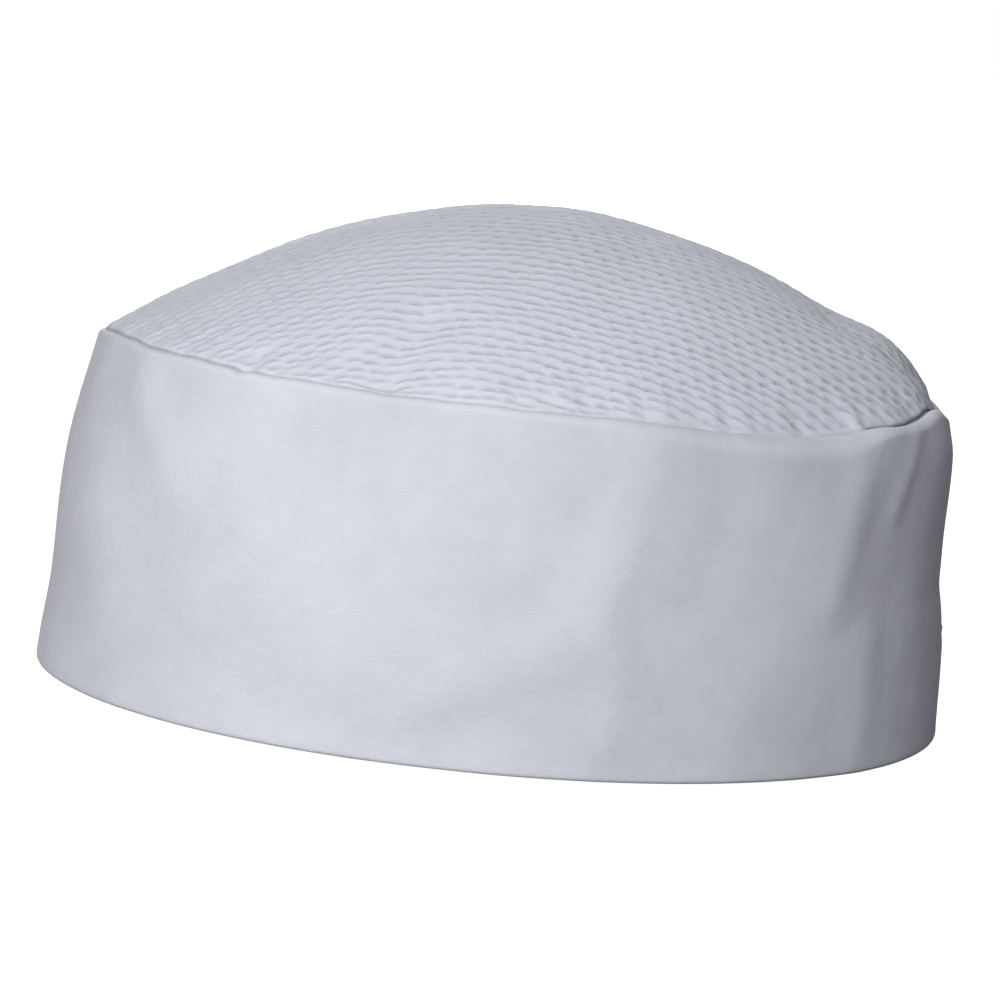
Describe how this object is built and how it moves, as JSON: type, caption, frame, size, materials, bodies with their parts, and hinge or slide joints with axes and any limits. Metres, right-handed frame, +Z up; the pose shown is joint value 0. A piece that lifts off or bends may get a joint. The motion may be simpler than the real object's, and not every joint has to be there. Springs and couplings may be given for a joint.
{
  "type": "chef cap",
  "caption": "Low round chef's cap with a wide white twill band, a domed mesh crown, and an arched back opening closed by a hook-and-loop strap.",
  "frame": {"origin": "centre of the rim's oval, where the head goes in, on the plane that the rim stands on", "axes": "+Z up to the crown, -Y to the cap's front, +Y to its adjustable back, X across the head"},
  "size_m": [0.177, 0.2105, 0.1065],
  "materials": {
    "twill": "matte",
    "mesh": "matte",
    "tape": "matte",
    "terry": "matte",
    "interfacing": "matte",
    "thread": "satin",
    "loop_pile": "matte",
    "hook_pile": "matte",
    "label": "satin"
  },
  "bodies": {
    "cap": {"band_shell": "twill", "band_interfacing": "interfacing", "back_seam_thread": "thread", "crown_panel": "mesh", "crown_seam_tape": "tape", "crown_seam_thread": "thread", "sweatband": "terry", "sweatband_thread": "thread", "opening_binding": "twill", "opening_binding_thread": "thread", "bartacks": "thread", "loop_tape": "loop_pile", "loop_tape_thread": "thread", "strap_root_tab": "twill", "strap_root_thread": "thread", "size_label_tab": "label", "care_label_tab": "label"},
    "strap": {"closure_strap": "twill", "strap_interfacing": "interfacing", "strap_edge_thread": "thread", "hook_tape": "hook_pile"},
    "care_label": {"care_label": "label"},
    "size_label": {"size_label": "label"}
  },
  "joints": [
    {"name": "strap_peel", "type": "hinge", "parent": "cap", "child": "strap", "pos_m": [0.03206, 0.09926, 0.0125], "axis": [0.0269, 0.0833, -0.9962], "range_deg": [0, 110]},
    {"name": "care_label_flip", "type": "hinge", "parent": "cap", "child": "care_label", "pos_m": [-0.0776, 0, 0.056], "axis": [0, -1, 0], "range_deg": [0, 100]},
    {"name": "size_label_flip", "type": "hinge", "parent": "cap", "child": "size_label", "pos_m": [0, 0.09482, 0.056], "axis": [-1, 0, 0], "range_deg": [0, 100]}
  ]
}
